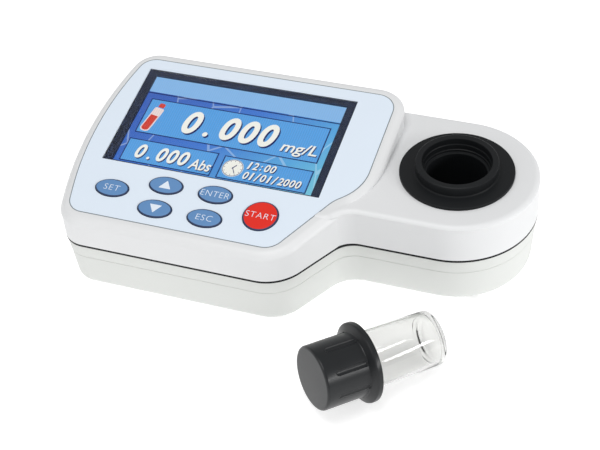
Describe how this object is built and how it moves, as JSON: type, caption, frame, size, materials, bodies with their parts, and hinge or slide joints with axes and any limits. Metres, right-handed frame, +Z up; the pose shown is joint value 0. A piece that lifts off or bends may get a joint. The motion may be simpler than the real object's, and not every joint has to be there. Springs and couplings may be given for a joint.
{
  "type": "digital water tester",
  "caption": "Bench water tester with a sloping colour display, oval keys and a round sample well, with its screw-capped sample vial beside it.",
  "frame": {"origin": "on the axis of the sample well, at the level of the rubber feet", "axes": "+Z up along the well axis, +X towards the round end that holds the well, +Y to the back"},
  "size_m": [0.2072, 0.1547, 0.058],
  "materials": {
    "shell_upper": "satin moulded white plastic",
    "shell_lower": "satin moulded white plastic",
    "seal_rubber": "matt dark rubber",
    "foot_rubber": "matt dark rubber",
    "steel": "zinc-plated screws and contacts",
    "overlay_film": "pale blue printed film, satin",
    "window": "clear glossy window with a dark printed border",
    "lcd_metal": "black painted steel frame",
    "lcd_screen": "lit colour screen",
    "white_sheet": "white diffuser",
    "flex": "amber flexible circuit",
    "key_blue": "blue printed key, satin",
    "key_red": "red printed key, satin",
    "board_green": "green circuit board",
    "chip_black": "black moulded part",
    "well_black": "matt black plastic",
    "clear_lens": "clear lens glass",
    "lamp_clear": "clear lamp body",
    "filter_amber": "amber coloured glass",
    "sensor_gold": "gold-plated can",
    "cell_wrap": "plastic-wrapped cell",
    "cap_black": "semi-gloss black plastic",
    "vial_clear": "clear borosilicate glass",
    "liner_white": "white soft liner",
    "cable_grey": "grey flat cable"
  },
  "bodies": {
    "tester": {"upper_shell": "shell_upper", "lower_shell": "shell_lower", "seam_seal": "seal_rubber", "rubber_feet": "foot_rubber", "housing_screws": "steel", "front_overlay": "overlay_film", "display_window": "window", "lcd_frame": "lcd_metal", "lcd_panel": "lcd_screen", "lcd_backlight": "white_sheet", "display_ribbon": "flex", "key_domes": "steel", "main_board": "board_green", "board_standoffs": "sensor_gold", "board_screws": "steel", "processor": "chip_black", "buzzer": "chip_black", "well_insert": "well_black", "well_seal": "seal_rubber", "optics_block": "well_black", "lamp": "lamp_clear", "lamp_holder": "chip_black", "beam_lens": "clear_lens", "colour_filter": "filter_amber", "light_sensor": "sensor_gold", "sensor_board": "board_green", "sensor_cable": "cable_grey", "battery_tray": "chip_black", "battery_cells": "cell_wrap", "battery_contacts": "steel", "battery_cover": "shell_lower", "cover_screws": "steel", "port_board": "board_green", "usb_port": "steel", "switch_body": "chip_black"},
    "key_set": {"key_set": "key_blue"},
    "key_up": {"key_up": "key_blue"},
    "key_down": {"key_down": "key_blue"},
    "key_enter": {"key_enter": "key_blue"},
    "key_esc": {"key_esc": "key_blue"},
    "key_start": {"key_start": "key_red"},
    "rocker": {"power_rocker": "chip_black"},
    "vial": {"vial_glass": "vial_clear"},
    "liner": {"cap_liner": "liner_white"},
    "cap": {"vial_cap": "cap_black"}
  },
  "joints": [
    {"name": "key_set_press", "type": "slide", "parent": "tester", "child": "key_set", "axis": [0, 0.153, -0.9882], "range_m": [0, 0.0005], "stiffness_N_per_m": 1500, "springref_m": -0.0005},
    {"name": "key_up_press", "type": "slide", "parent": "tester", "child": "key_up", "axis": [0, 0.153, -0.9882], "range_m": [0, 0.0005], "stiffness_N_per_m": 1500, "springref_m": -0.0005},
    {"name": "key_down_press", "type": "slide", "parent": "tester", "child": "key_down", "axis": [0, 0.153, -0.9882], "range_m": [0, 0.0005], "stiffness_N_per_m": 1500, "springref_m": -0.0005},
    {"name": "key_enter_press", "type": "slide", "parent": "tester", "child": "key_enter", "axis": [0, 0.153, -0.9882], "range_m": [0, 0.0005], "stiffness_N_per_m": 1500, "springref_m": -0.0005},
    {"name": "key_esc_press", "type": "slide", "parent": "tester", "child": "key_esc", "axis": [0, 0.153, -0.9882], "range_m": [0, 0.0005], "stiffness_N_per_m": 1500, "springref_m": -0.0005},
    {"name": "key_start_press", "type": "slide", "parent": "tester", "child": "key_start", "axis": [0, 0.153, -0.9882], "range_m": [0, 0.0005], "stiffness_N_per_m": 1500, "springref_m": -0.0005},
    {"name": "rocker_tilt", "type": "hinge", "parent": "tester", "child": "rocker", "pos_m": [-0.1405, 0.0336, 0.038], "axis": [0, 0, -1], "range_deg": [0, 16]},
    {"name": "vial_lift", "type": "slide", "parent": "tester", "child": "vial", "axis": [0, 0, 1], "range_m": [0, 0.09]},
    {"name": "liner_rise", "type": "slide", "parent": "vial", "child": "liner", "axis": [-0.6668, -0.7302, 0.1492], "range_m": [0, 0.0165]},
    {"name": "cap_turn", "type": "hinge", "parent": "liner", "child": "cap", "pos_m": [-0.01615, -0.09015, 0.01691], "axis": [-0.6668, -0.7302, 0.1492], "range_deg": [0, 1980]}
  ],
  "couplings": [
    {"joint": "liner_rise", "follows": "cap_turn", "m_per_rad": 0.00047746}
  ]
}
